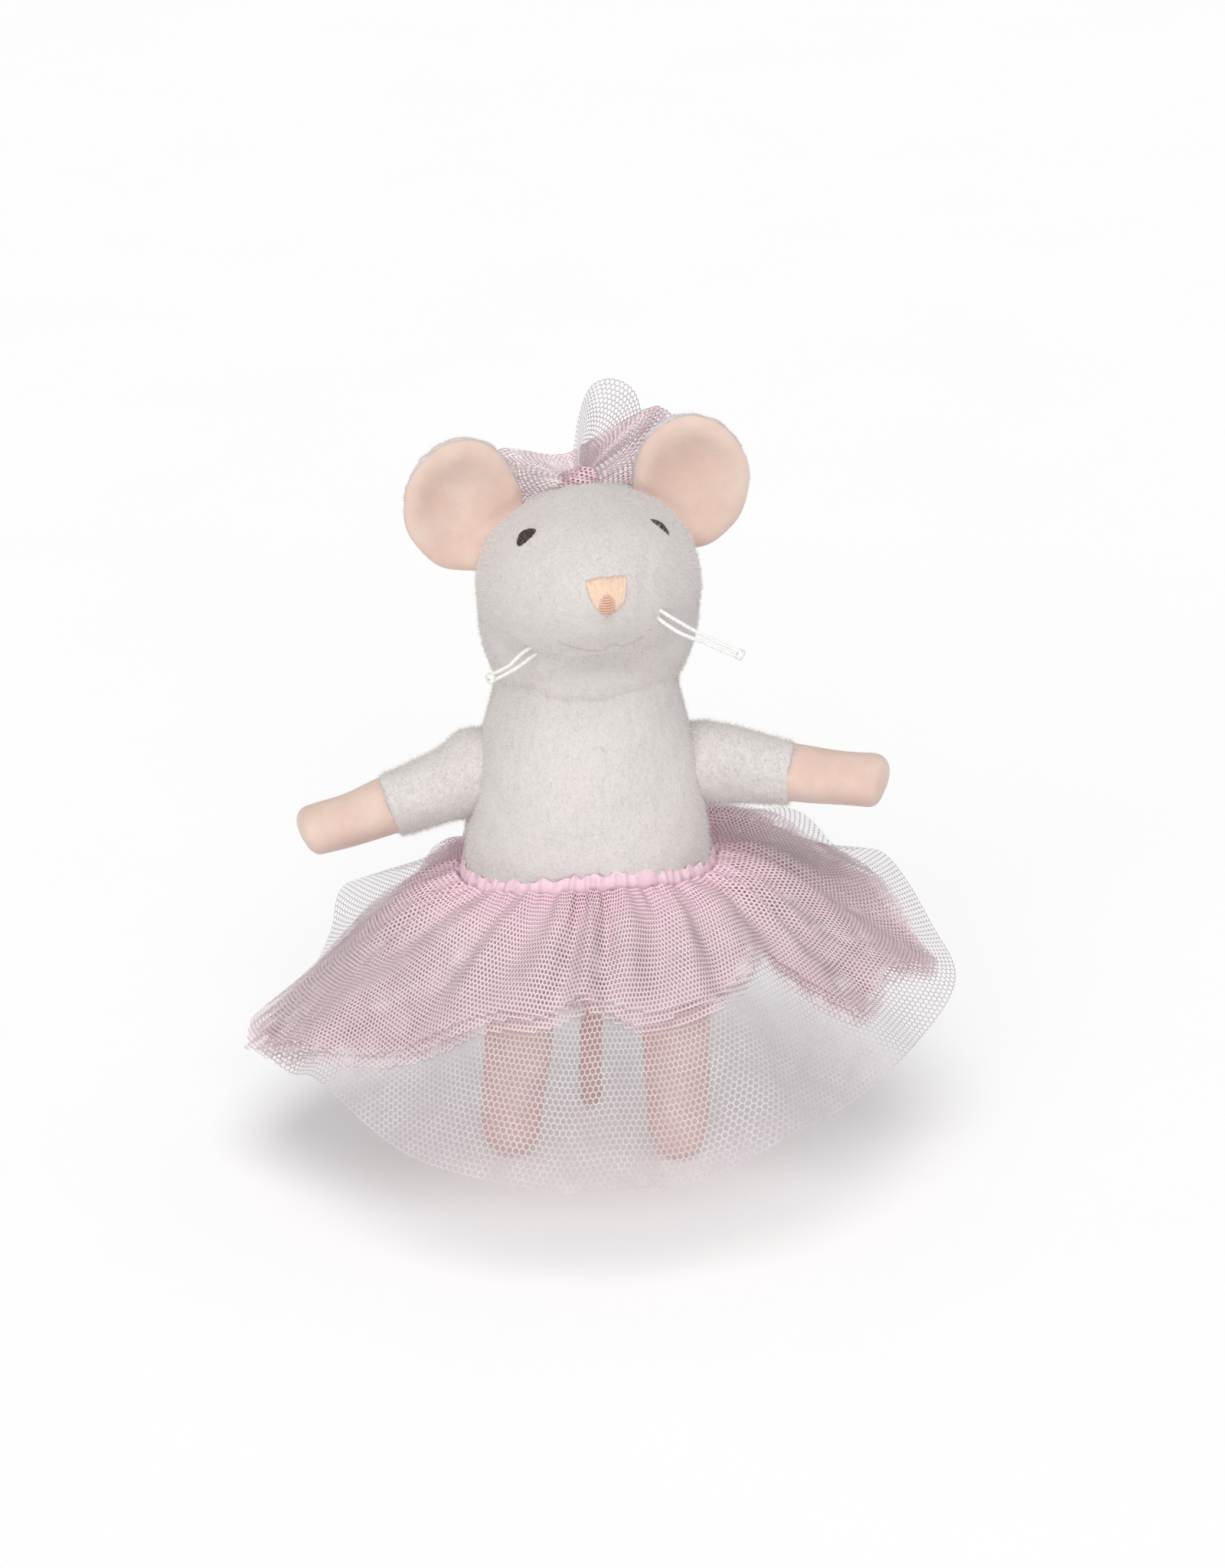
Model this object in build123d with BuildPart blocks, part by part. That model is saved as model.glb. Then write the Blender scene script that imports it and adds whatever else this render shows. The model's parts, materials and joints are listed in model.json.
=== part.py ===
from build123d import *

# Small standing soft-toy mouse in a net ballet skirt.
# Millimetres. +Z is up, the mouse faces -Y, and its own left side is +X.
# The origin is on the floor, under the middle of the toy's box. The sizes below are measured from
# the torso's own upright axis, which stands at AXIS_PLACE.
# Every stuffed part is a fabric cover with its own fibre filling inside.

import os
from math import cos, radians, sin

# Fabric and fits
SKIN = 0.8                # thickness of towelling and velour
FILL_GAP = 0.05           # between a cover and its filling
SEAM_GAP = 0.05           # between two pieces sewn edge to edge
JOINT_GAP = 0.35          # between a limb's ball and the hollow it turns in
SHAFT_GAP = 0.15          # between a limb's shaft and the groove it swings into
STITCH = 0.45             # how far embroidery stands off the cover

SIDES = {"left": 1, "right": -1}
AXIS_PLACE = (-1.8, -4.05, 0)

# Torso: a pear on the Z axis
TORSO_BOTTOM = 31.0
WAIST_HEIGHT = 47.5
TORSO_TOP = 77.0
SEAT_RADIUS = 8.0
WAIST_RADIUS = 18.6
CHEST_RADIUS = 17.4
CHEST_HEIGHT = 60.0
NECK_RADIUS = 13.2

# Head: an egg along the snout, set on the neck and turned a little to the mouse's left
HEAD_CENTRE = (0, -1, 93.5)
HEAD_TURN = 8.0
HEAD_ROLL = 4.5
SNOUT_PITCH = 16.0
HEAD_WIDTH = 33.2
HEAD_HEIGHT = 28.6
SNOUT_LENGTH = 23.0
SKULL_LENGTH = 15.0
NECK_COLLAR_TOP = 88.0

# Ears, in the head's frame
EAR_CENTRE = (16.5, 3.0, 13.5)
EAR_RADIUS = 9.7
EAR_CUP = 2.2
EAR_LAYER = 0.9
EAR_GAP = 0.8

# Arms: shoulder height, droop and length from the shoulder pivot
SHOULDER_X = 17.0
SHOULDER_HEIGHT = {"left": 64.0, "right": 62.3}
ARM_DROOP = {"left": 6.0, "right": 21.0}
ARM_FORWARD = 8.0
ARM_LENGTH = 28.0
CUFF_AT = 13.0
SHOULDER_RADIUS = 6.2
CUFF_RADIUS = 4.7
PAW_RADIUS = 4.0
PAW_ROUND = 3.0
ARM_SWING = {"left": (-28, 40), "right": (-19, 55)}     # degrees down and up from rest

# Legs: hip and foot places, both with the foot cut flat on the floor
HIP_HEIGHT = 36.0
HIP_X = {"left": 13.3, "right": -9.2}
FOOT_X = {"left": 13.9, "right": -13.9}
FOOT_Y = {"left": -3.5, "right": -2.0}
HIP_RADIUS = 5.4
LEG_RADIUS = 5.1
FOOT_ROUND = 9.0
SOLE_CUT = 0.5            # how much of the rounded foot end the floor presses flat
THIGH_LENGTH = 12.0
LEG_SWING = (-15, 0, 18, 37, 55)  # degrees from rest, back to forward, that the hip hollow is cut at

# Tail: a thin tube from the lower back to the floor
TAIL_ROOT = (0.5, 14.6, 36.0)
TAIL_TIP = (0.9, 16.2, 1.9)
TAIL_RADIUS = 1.9
TAIL_BALL = 2.3

# Face, in the head's frame
EYE_TOWARDS = (10.0, -7.0, 11.5)
EYE_LENGTH = 3.8
EYE_BREADTH = 2.0
EYE_SLOPE = 30.0
NOSE_WIDTH = 5.8
NOSE_HEIGHT = 5.6
MOUTH_WIDTH = 13.6
MOUTH_CORNER_Z = -7.1
MOUTH_MIDDLE_Z = -9.4
MOUTH_THREAD = 0.6

# Whiskers, from the cheek to the knot
WHISKER_ROOT = {"left": (9.0, -12.0, 93.9), "right": (-3.4, -13.6, 91.0)}
WHISKER_KNOT = {"left": (22.3, -18.0, 88.0), "right": (-14.1, -19.5, 84.9)}
CORD_RADIUS = 0.35
CORD_SPACING = 0.8
KNOT_RADIUS = 0.9

# Bow, in the head's frame
BOW_KNOT_AT = (0.0, 16.0)
BOW_DEPTH = 2.4
BOW_LEAF = 1.2
BOW_GAP = 0.3
BOW_KNOT_RADIUS = 2.3
BOW_LOOP_LEFT = ((4, 22), (13.5, 26.5), (15.5, 19), (9, 15))
BOW_LOOP_RIGHT = ((-5, 20.5), (-10, 22.5), (-13, 18), (-8, 15))
BOW_END = ((0, 24), (5.5, 32.5), (11, 28))

# Skirt: net cones round the waist, lower at the front and at the mouse's right
BAND_BOTTOM = 47.4
BAND_TOP = 52.6
BAND_GAP = 0.3
BAND_THICKNESS = 1.5
THREAD_RADIUS = 0.25
THREAD_ABOVE_HEM = 3.8
SKIRT_TILT = (-0.077, -0.173, 1)
SKIRT_TOP = 47.0
SKIRT_TOP_RADIUS = 21.2
SKIRT_SLOPE = -0.73       # rise per unit of radius
NET_THICKNESS = 0.5
NET_SPACING = 1.4
LONG_NET_RADIUS = 53.5
SHORT_NET_RADII = (48.0, 45.0, 41.0)

os.makedirs("parts", exist_ok=True)


def save(builder, name):
    """Set a finished piece round the torso's axis, label it and write it under its own name."""
    piece = builder.part.moved(Location(AXIS_PLACE))
    piece.label = name
    export_step(piece, f"parts/{name}.step")


def direction(droop, turn):
    """Unit vector that leaves +X by turn towards -Y and drops by droop, in degrees."""
    flat = cos(radians(droop))
    return Vector(flat * cos(radians(turn)), -flat * sin(radians(turn)), -sin(radians(droop)))


# Torso ---------------------------------------------------------------------------------------


def torso_form(inset):
    """The pear-shaped body, pulled in by inset all round."""
    with BuildPart() as form:
        with BuildSketch(Plane.XZ):
            with BuildLine():
                seat = (SEAT_RADIUS, TORSO_BOTTOM + inset)
                neck = (NECK_RADIUS - inset, TORSO_TOP - inset)
                Line((0, TORSO_BOTTOM + inset), seat)
                Spline(
                    seat,
                    (WAIST_RADIUS - inset, WAIST_HEIGHT),
                    (CHEST_RADIUS - inset, CHEST_HEIGHT),
                    neck,
                    tangents=((1, 0.15), (-0.25, 1)),
                )
                Line(neck, (0, TORSO_TOP - inset))
                Line((0, TORSO_TOP - inset), (0, TORSO_BOTTOM + inset))
            make_face()
        revolve(axis=Axis.Z)
    return form.part


# Limbs ---------------------------------------------------------------------------------------


def limb_form(root, along, length, root_radius, mid_at, mid_radius, end_radius, end_round, inset):
    """A round tube with a ball at its root and a domed end, pulled in by inset all round."""
    side = Vector(0, 1, 0) if abs(along.Z) < 0.7 else Vector(1, 0, 0)
    with BuildPart() as form:
        with BuildSketch(Plane(origin=root, x_dir=along, z_dir=along.cross(side))):
            with BuildLine():
                ball = root_radius - inset
                dome_at = length - end_round
                CenterArc((0, 0), ball, 90, 90)
                Polyline((0, ball), (mid_at, mid_radius - inset), (dome_at, end_radius - inset))
                EllipticalCenterArc((dome_at, 0), end_round - inset, end_radius - inset)
                Line((length - inset, 0), (-ball, 0))
            make_face()
        revolve(axis=Axis(root, along))
    return form.part


def shoulder(side):
    return Vector(SIDES[side] * SHOULDER_X, 0, SHOULDER_HEIGHT[side])


def arm_direction(side, swing=0):
    """Where the arm points, raised by swing degrees from rest."""
    along = direction(ARM_DROOP[side] - swing, ARM_FORWARD)
    return Vector(SIDES[side] * along.X, along.Y, along.Z)


def arm_form(side, inset, swing=0):
    return limb_form(
        shoulder(side), arm_direction(side, swing), ARM_LENGTH, SHOULDER_RADIUS,
        CUFF_AT, CUFF_RADIUS, PAW_RADIUS, PAW_ROUND, inset,
    )


def hip(side):
    return Vector(HIP_X[side], 0, HIP_HEIGHT)


def leg_direction(side, swing=0):
    """Where the leg points, swung forward by swing degrees from rest."""
    foot = Vector(FOOT_X[side], FOOT_Y[side], 0)
    return (foot - hip(side)).normalized().rotate(Axis.X, -swing)


def leg_form(side, inset, swing=0):
    length = (Vector(FOOT_X[side], FOOT_Y[side], 0) - hip(side)).length + SOLE_CUT
    return limb_form(
        hip(side), leg_direction(side, swing), length, HIP_RADIUS,
        THIGH_LENGTH, LEG_RADIUS, LEG_RADIUS, FOOT_ROUND, inset,
    )


tail_along = Vector(*TAIL_TIP) - Vector(*TAIL_ROOT)

# Hollows in the torso in which the arms, legs and tail turn: a ball for each root, and a groove for
# its shaft at both limits of its swing, which between them clear the whole sweep.
with BuildPart() as limb_hollows:
    for side in SIDES:
        with Locations(shoulder(side)):
            Sphere(SHOULDER_RADIUS + JOINT_GAP)
        for swing in ARM_SWING[side]:
            with BuildSketch(Plane(origin=shoulder(side), z_dir=arm_direction(side, swing))):
                Circle(SHOULDER_RADIUS + SHAFT_GAP)
            extrude(amount=ARM_LENGTH)
        with Locations(hip(side)):
            Sphere(HIP_RADIUS + JOINT_GAP)
        for swing in LEG_SWING:
            with BuildSketch(Plane(origin=hip(side), z_dir=leg_direction(side, swing))):
                Circle(HIP_RADIUS + SHAFT_GAP)
            extrude(amount=HIP_HEIGHT)
    with Locations(TAIL_ROOT):
        Sphere(TAIL_BALL + JOINT_GAP)
    with BuildSketch(Plane(origin=TAIL_ROOT, z_dir=tail_along)):
        Circle(TAIL_RADIUS + JOINT_GAP)
    extrude(amount=HIP_HEIGHT - TORSO_BOTTOM + TAIL_RADIUS)


with BuildPart() as torso_cover:
    add(torso_form(0))
    add(torso_form(SKIN), mode=Mode.SUBTRACT)
    add(limb_hollows.part, mode=Mode.SUBTRACT)
save(torso_cover, "torso_cover")

with BuildPart() as torso_stuffing:
    add(torso_form(SKIN + FILL_GAP))
    add(limb_hollows.part, mode=Mode.SUBTRACT)
save(torso_stuffing, "torso_stuffing")


for side in SIDES:
    cuff = Plane(origin=shoulder(side) + arm_direction(side) * CUFF_AT, z_dir=arm_direction(side))

    with BuildPart() as sleeve:
        add(arm_form(side, 0))
        add(arm_form(side, SKIN), mode=Mode.SUBTRACT)
        split(bisect_by=cuff.offset(-SEAM_GAP), keep=Keep.BOTTOM)
    save(sleeve, f"sleeve_{side}")

    with BuildPart() as paw:
        add(arm_form(side, 0))
        add(arm_form(side, SKIN), mode=Mode.SUBTRACT)
        split(bisect_by=cuff, keep=Keep.TOP)
    save(paw, f"paw_{side}")

    with BuildPart() as arm_stuffing:
        add(arm_form(side, SKIN + FILL_GAP))
    save(arm_stuffing, f"arm_stuffing_{side}")

    knee = Plane(origin=hip(side) + leg_direction(side) * THIGH_LENGTH, z_dir=leg_direction(side))

    with BuildPart() as thigh:
        add(leg_form(side, 0))
        add(leg_form(side, SKIN), mode=Mode.SUBTRACT)
        split(bisect_by=knee.offset(-SEAM_GAP), keep=Keep.BOTTOM)
    save(thigh, f"thigh_{side}")

    with BuildPart() as foot:
        add(leg_form(side, 0))
        add(leg_form(side, SKIN), mode=Mode.SUBTRACT)
        split(bisect_by=knee, keep=Keep.TOP)
        split(bisect_by=Plane.XY, keep=Keep.TOP)
    save(foot, f"foot_{side}")

    with BuildPart() as leg_stuffing:
        add(leg_form(side, SKIN + FILL_GAP))
    save(leg_stuffing, f"leg_stuffing_{side}")


# Tail ----------------------------------------------------------------------------------------

with BuildPart() as tail:
    with BuildSketch(Plane(origin=TAIL_ROOT, z_dir=tail_along)):
        Circle(TAIL_RADIUS)
    extrude(amount=tail_along.length)
    with Locations(TAIL_ROOT):
        Sphere(TAIL_BALL)
    with Locations(TAIL_TIP):
        Sphere(TAIL_RADIUS)
save(tail, "tail")


# Head ----------------------------------------------------------------------------------------

HEAD = Plane(Pos(*HEAD_CENTRE) * Rot(Z=HEAD_TURN) * Rot(Y=-HEAD_ROLL))
SNOUT = Plane(
    origin=HEAD.origin,
    x_dir=HEAD.x_dir,
    z_dir=HEAD.from_local_coords(Vector(0, -cos(radians(SNOUT_PITCH)), sin(radians(SNOUT_PITCH))))
    - HEAD.origin,
)


def head_stations():
    """Places along the snout axis, each with its share of the full width."""
    for angle in (80, 60, 40, 20):
        yield -SKULL_LENGTH * sin(radians(angle)), cos(radians(angle))
    for share in (0, 0.2, 0.4, 0.6, 0.78, 0.9, 0.975):
        yield SNOUT_LENGTH * share, (1 - share**1.8) ** 0.65


def head_form(inset):
    """The egg-shaped head with its neck collar, pulled in by inset all round."""
    with BuildPart() as form:
        half_length = (SNOUT_LENGTH + SKULL_LENGTH) / 2
        for place, share in head_stations():
            with BuildSketch(SNOUT.offset(place * (1 - inset / half_length))):
                Ellipse((HEAD_WIDTH / 2 - inset) * share, (HEAD_HEIGHT / 2 - inset) * share)
        loft()
        with BuildSketch(Plane.XY.offset(TORSO_TOP + JOINT_GAP + inset)):
            Circle(NECK_RADIUS - inset)
        extrude(amount=NECK_COLLAR_TOP - TORSO_TOP - inset)
    return form.part


with BuildPart() as head_cover:
    add(head_form(0))
    add(head_form(SKIN), mode=Mode.SUBTRACT)
save(head_cover, "head_cover")

with BuildPart() as head_stuffing:
    add(head_form(SKIN + FILL_GAP))
save(head_stuffing, "head_stuffing")


# Ears: a towelling back and a velour lining, both cupped towards the front ------------------------


def ear_layer(side, front, back):
    """The slice of the cupped ear disc between two depths behind its rim."""
    x, y, z = EAR_CENTRE
    centre = HEAD.from_local_coords(Vector(SIDES[side] * x, y, z))
    with BuildPart() as layer:
        with BuildSketch(Plane(origin=centre, x_dir=HEAD.x_dir, z_dir=HEAD.z_dir)):
            with BuildLine():
                near, far = (
                    ThreePointArc(
                        (0, EAR_CUP + depth), (EAR_RADIUS * 0.6, EAR_CUP * 0.6 + depth), (EAR_RADIUS, depth)
                    )
                    for depth in (front, back)
                )
                Line(near @ 0, far @ 0)
                Line(near @ 1, far @ 1)
            make_face()
        revolve(axis=Axis(centre, HEAD.y_dir))
        add(head_form(-EAR_GAP), mode=Mode.SUBTRACT)
    return layer


for side in SIDES:
    save(ear_layer(side, 0, EAR_LAYER), f"ear_lining_{side}")
    save(ear_layer(side, EAR_LAYER + SEAM_GAP, 2 * EAR_LAYER + SEAM_GAP), f"ear_back_{side}")


# Face: embroidery that follows the head's surface ---------------------------------------------------

FACE = Plane(origin=HEAD.origin, x_dir=HEAD.x_dir, z_dir=-HEAD.y_dir)


def keep_on_head():
    """Trim the block being built to a thin patch on the head cover."""
    add(head_form(-STITCH), mode=Mode.INTERSECT)
    add(head_form(-SEAM_GAP), mode=Mode.SUBTRACT)


for side, sign in SIDES.items():
    x, y, z = EYE_TOWARDS
    outward = HEAD.from_local_coords(Vector(sign * x, y, z)) - HEAD.origin
    with BuildPart() as eye:
        with BuildSketch(Plane(origin=HEAD.origin + outward / 2, x_dir=HEAD.x_dir, z_dir=outward)):
            Ellipse(EYE_LENGTH / 2, EYE_BREADTH / 2, rotation=-sign * EYE_SLOPE)
        extrude(amount=outward.length)
        keep_on_head()
    save(eye, f"eye_{side}")

with BuildPart() as nose:
    with BuildSketch(SNOUT.offset(SNOUT_LENGTH * 0.8)):
        Ellipse(NOSE_WIDTH / 2, NOSE_HEIGHT / 2)
    extrude(amount=SNOUT_LENGTH * 0.3)
    keep_on_head()
save(nose, "nose")

with BuildPart() as mouth:
    with BuildSketch(SNOUT.offset(SNOUT_LENGTH * 0.4)):
        with BuildLine():
            ThreePointArc(
                (-MOUTH_WIDTH / 2, MOUTH_CORNER_Z), (0, MOUTH_MIDDLE_Z), (MOUTH_WIDTH / 2, MOUTH_CORNER_Z)
            )
        trace(line_width=MOUTH_THREAD)
    extrude(amount=SNOUT_LENGTH)
    keep_on_head()
save(mouth, "mouth")


# Whiskers: a doubled cord on each side, knotted at its end ------------------------------------------

for side in SIDES:
    root = Vector(*WHISKER_ROOT[side])
    knot = Vector(*WHISKER_KNOT[side])
    along = knot - root
    level = along.cross(Vector(0, 0, 1))
    with BuildPart() as whiskers:
        with BuildSketch(Plane(origin=root, x_dir=level, z_dir=along)):
            with GridLocations(0, CORD_SPACING, 1, 2):
                Circle(CORD_RADIUS)
        extrude(amount=along.length)
        with Locations(Plane(origin=knot, x_dir=along, z_dir=level)):
            Sphere(KNOT_RADIUS)
        add(head_form(-SEAM_GAP), mode=Mode.SUBTRACT)
    save(whiskers, f"whiskers_{side}")


# Bow: a gathered knot with two loops and one tall free end, standing on the head in front of the ears


def bow_leaf(depth, outline):
    """One flat leaf of net, drawn in the head's frame as seen from the front."""
    with BuildPart() as leaf:
        with BuildSketch(FACE.offset(depth)):
            with BuildLine():
                Spline(BOW_KNOT_AT, *outline, BOW_KNOT_AT)
            make_face()
        extrude(amount=BOW_LEAF)
        with Locations(bow_knot_centre):
            Sphere(BOW_KNOT_RADIUS + SEAM_GAP, mode=Mode.SUBTRACT)
        add(head_form(-BOW_GAP), mode=Mode.SUBTRACT)
    return leaf


bow_knot_centre = FACE.from_local_coords(Vector(*BOW_KNOT_AT, BOW_DEPTH + BOW_LEAF / 2))

with BuildPart() as bow_knot:
    with Locations(bow_knot_centre):
        Sphere(BOW_KNOT_RADIUS)
    add(head_form(-SEAM_GAP), mode=Mode.SUBTRACT)
save(bow_knot, "bow_knot")

save(bow_leaf(BOW_DEPTH, BOW_LOOP_LEFT), "bow_loop_left")
save(bow_leaf(BOW_DEPTH, BOW_LOOP_RIGHT), "bow_loop_right")
save(bow_leaf(BOW_DEPTH - BOW_LEAF - BOW_GAP, BOW_END), "bow_end")


# Skirt: a gathered waistband with its thread, and cones of net below it -----------------------------

with BuildPart() as waistband:
    with BuildSketch(Plane.XY.offset(BAND_BOTTOM)):
        Circle(WAIST_RADIUS + BAND_GAP + BAND_THICKNESS)
        Circle(WAIST_RADIUS + BAND_GAP, mode=Mode.SUBTRACT)
    extrude(amount=BAND_TOP - BAND_BOTTOM)
save(waistband, "waistband")

with BuildPart() as gathering_thread:
    with Locations((0, 0, BAND_BOTTOM + THREAD_ABOVE_HEM)):
        Torus(WAIST_RADIUS + BAND_GAP + BAND_THICKNESS + SEAM_GAP + THREAD_RADIUS, THREAD_RADIUS)
save(gathering_thread, "gathering_thread")


def net_cone(level, radius):
    """One layer of net: a thin cone from the waistband to its hem."""
    hem_drop = SKIRT_SLOPE * (radius - SKIRT_TOP_RADIUS)
    top = Plane(origin=(0, 0, SKIRT_TOP + level * NET_SPACING), z_dir=SKIRT_TILT)
    with BuildPart() as cone:
        with BuildSketch(Plane(origin=top.origin, x_dir=top.x_dir, z_dir=-top.y_dir)):
            with BuildLine():
                Polyline(
                    (SKIRT_TOP_RADIUS, 0),
                    (radius, hem_drop),
                    (radius, hem_drop - NET_THICKNESS),
                    (SKIRT_TOP_RADIUS, -NET_THICKNESS),
                    close=True,
                )
            make_face()
        revolve(axis=Axis(top.origin, top.z_dir))
    return cone


save(net_cone(0, LONG_NET_RADIUS), "net_long")
for level, radius in enumerate(SHORT_NET_RADII, start=1):
    save(net_cone(level, radius), f"net_short_{level}")
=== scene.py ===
import json

import bmesh
import bpy
import numpy as np
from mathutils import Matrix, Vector
from mathutils.bvhtree import BVHTree


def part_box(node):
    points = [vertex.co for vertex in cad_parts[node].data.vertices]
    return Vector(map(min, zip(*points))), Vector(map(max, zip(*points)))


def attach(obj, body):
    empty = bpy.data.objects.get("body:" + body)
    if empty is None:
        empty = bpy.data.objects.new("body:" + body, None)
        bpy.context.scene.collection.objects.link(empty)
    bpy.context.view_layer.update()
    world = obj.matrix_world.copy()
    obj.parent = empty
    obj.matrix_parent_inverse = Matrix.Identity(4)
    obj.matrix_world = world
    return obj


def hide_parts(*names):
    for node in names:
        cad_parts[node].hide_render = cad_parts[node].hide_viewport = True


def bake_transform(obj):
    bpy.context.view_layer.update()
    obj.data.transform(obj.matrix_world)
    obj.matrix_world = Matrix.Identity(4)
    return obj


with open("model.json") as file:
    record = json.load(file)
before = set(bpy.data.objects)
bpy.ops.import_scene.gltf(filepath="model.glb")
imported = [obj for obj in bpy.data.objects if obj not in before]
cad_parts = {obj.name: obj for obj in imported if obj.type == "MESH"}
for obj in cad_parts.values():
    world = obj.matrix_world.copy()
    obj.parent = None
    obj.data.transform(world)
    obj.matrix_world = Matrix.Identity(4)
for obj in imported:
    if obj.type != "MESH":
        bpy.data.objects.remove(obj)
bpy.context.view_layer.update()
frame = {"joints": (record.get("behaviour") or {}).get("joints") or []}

# Shapes are worked out in millimetres and turned into metres when a mesh is made.
MM = 0.001
SEED = 7


# --- Places taken from the frame --------------------------------------------------------------


def node_box(node):
    """Lowest and highest corner of a CAD node, as two arrays in millimetres."""
    low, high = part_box(node)
    return np.array(low) / MM, np.array(high) / MM


def node_centre(node):
    low, high = node_box(node)
    return (low + high) / 2


def joint(name):
    """(place in millimetres, axis) of a hinge."""
    found = next(j for j in frame["joints"] if j["name"] == name)
    return np.array(found["pos_m"]) / MM, np.array(found["axis"])


def unit(vector):
    vector = np.asarray(vector, float)
    return vector / np.linalg.norm(vector, axis=-1, keepdims=True)


SIDES = {"left": 1, "right": -1}
UP = np.array([0.0, 0.0, 1.0])
FRONT = np.array([0.0, -1.0, 0.0])

neck_place, _ = joint("neck_turn")
# The torso's upright axis meets the floor here.
AXIS = neck_place * (1.0, 1.0, 0.0)

ear_radius = np.ptp(node_box("ear_lining_left"), axis=0)[2] / 2


def ear_centre(side):
    """Middle of the ear disc: its outer edge is whole in the CAD, its inner edge is cut by the head."""
    low, high = node_box(f"ear_lining_{side}")
    x = high[0] - ear_radius if side == "left" else low[0] + ear_radius
    return np.array([x, (low[1] + high[1]) / 2, (low[2] + high[2]) / 2])


# The head's own axes: across from ear to ear, back and up; its snout runs from the centre to the nose.
head_across = unit(ear_centre("left") - ear_centre("right"))
head_back = unit(np.cross(UP, head_across))
head_up = np.cross(head_across, head_back)
head_low, head_high = node_box("head_cover")
nose_place = node_centre("nose")
HEAD_HALF_WIDTH = np.ptp([head_low[0], head_high[0]]) / 2
HEAD_HALF_HEIGHT = 0.86 * HEAD_HALF_WIDTH
SKULL_LENGTH = 15.0
SNOUT_LENGTH = 23.0
snout_pitch = np.radians(16.0)
snout_along = unit(-head_back * np.cos(snout_pitch) + head_up * np.sin(snout_pitch))
head_centre = nose_place - snout_along * SNOUT_LENGTH * 0.97
snout_up = np.cross(head_across, -snout_along)


# --- Mesh helpers --------------------------------------------------------------------------------


def make_mesh(name, points, faces, material):
    """A smooth mesh object from points in millimetres and faces that all have as many corners."""
    mesh = bpy.data.meshes.new(name)
    points = np.asarray(points, np.float32) * MM
    faces = np.asarray(faces, np.int32)
    corners = faces.shape[1]
    mesh.vertices.add(len(points))
    mesh.vertices.foreach_set("co", points.ravel())
    mesh.loops.add(faces.size)
    mesh.loops.foreach_set("vertex_index", faces.ravel())
    mesh.polygons.add(len(faces))
    mesh.polygons.foreach_set("loop_start", np.arange(0, faces.size, corners, dtype=np.int32))
    mesh.polygons.foreach_set("use_smooth", np.ones(len(faces), bool))
    mesh.update(calc_edges=True)
    mesh.validate()
    mesh.materials.append(material)
    piece = bpy.data.objects.new(name, mesh)
    bpy.context.scene.collection.objects.link(piece)
    return piece


def grid_faces(rows, columns, wrap):
    """Quads between neighbouring rows and columns of a grid, joined round if wrap."""
    i, j = np.meshgrid(np.arange(rows - 1), np.arange(columns if wrap else columns - 1), indexing="ij")
    right = (j + 1) % columns
    quads = [i * columns + j, i * columns + right, (i + 1) * columns + right, (i + 1) * columns + j]
    return np.stack(quads, axis=-1).reshape(-1, 4)


def tube(name, path, radii, material, sides=24, across=None, squeeze=1.0):
    """A closed round tube: rings of given radii along a path of points, with a small flat cap."""
    path = np.asarray(path, float)
    radii = np.asarray(radii, float)
    along = unit(np.gradient(path, axis=0))
    across = unit(np.cross(along[0], UP if abs(along[0][2]) < 0.9 else FRONT)) if across is None else across
    angles = np.arange(sides) * 2 * np.pi / sides
    rings = []
    for centre, direction, radius in zip(path, along, radii):
        across = unit(across - direction * (across @ direction))
        other = np.cross(direction, across)
        spokes = np.cos(angles)[:, None] * across + squeeze * np.sin(angles)[:, None] * other
        rings.append(centre + spokes * radius)
    piece = make_mesh(name, np.concatenate(rings), grid_faces(len(path), sides, True), material)
    close_ends(piece)
    return piece


def close_ends(piece):
    """Fill the open ends of a tube and turn its faces outwards."""
    shape = bmesh.new()
    shape.from_mesh(piece.data)
    bmesh.ops.holes_fill(shape, edges=[e for e in shape.edges if e.is_boundary], sides=0)
    bmesh.ops.recalc_face_normals(shape, faces=shape.faces)
    shape.to_mesh(piece.data)
    shape.free()


def weld(piece):
    """Join the points of a mesh that lie on each other."""
    shape = bmesh.new()
    shape.from_mesh(piece.data)
    bmesh.ops.remove_doubles(shape, verts=shape.verts, dist=0.001 * MM)
    shape.to_mesh(piece.data)
    shape.free()


def join(pieces, name):
    """One object from several."""
    bpy.ops.object.select_all(action="DESELECT")
    for piece in pieces:
        piece.select_set(True)
    bpy.context.view_layer.objects.active = pieces[0]
    if len(pieces) > 1:
        bpy.ops.object.join()
    pieces[0].name = name
    pieces[0].data.name = name
    return pieces[0]


def baked(piece, *modifiers):
    """Add modifiers, given as (type, settings), and put their result in the mesh."""
    for kind, settings in modifiers:
        modifier = piece.modifiers.new(kind, kind)
        for key, value in settings.items():
            setattr(modifier, key, value)
    graph = bpy.context.evaluated_depsgraph_get()
    result = bpy.data.meshes.new_from_object(piece.evaluated_get(graph))
    piece.modifiers.clear()
    piece.data = result
    piece.data.shade_smooth()
    return piece


def fused(piece, voxel, smoothing):
    """One smooth skin round overlapping closed shapes; voxel in millimetres."""
    return baked(
        piece,
        ("REMESH", {"mode": "VOXEL", "voxel_size": voxel * MM, "use_smooth_shade": True}),
        ("SMOOTH", {"factor": 0.5, "iterations": smoothing}),
    )


def points_of(piece):
    """Vertex places in millimetres."""
    points = np.empty(len(piece.data.vertices) * 3, np.float32)
    piece.data.vertices.foreach_get("co", points)
    return points.reshape(-1, 3).astype(float) / MM


def normals_of(piece):
    normals = np.empty(len(piece.data.vertices) * 3, np.float32)
    piece.data.vertices.foreach_get("normal", normals)
    return normals.reshape(-1, 3).astype(float)


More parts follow.
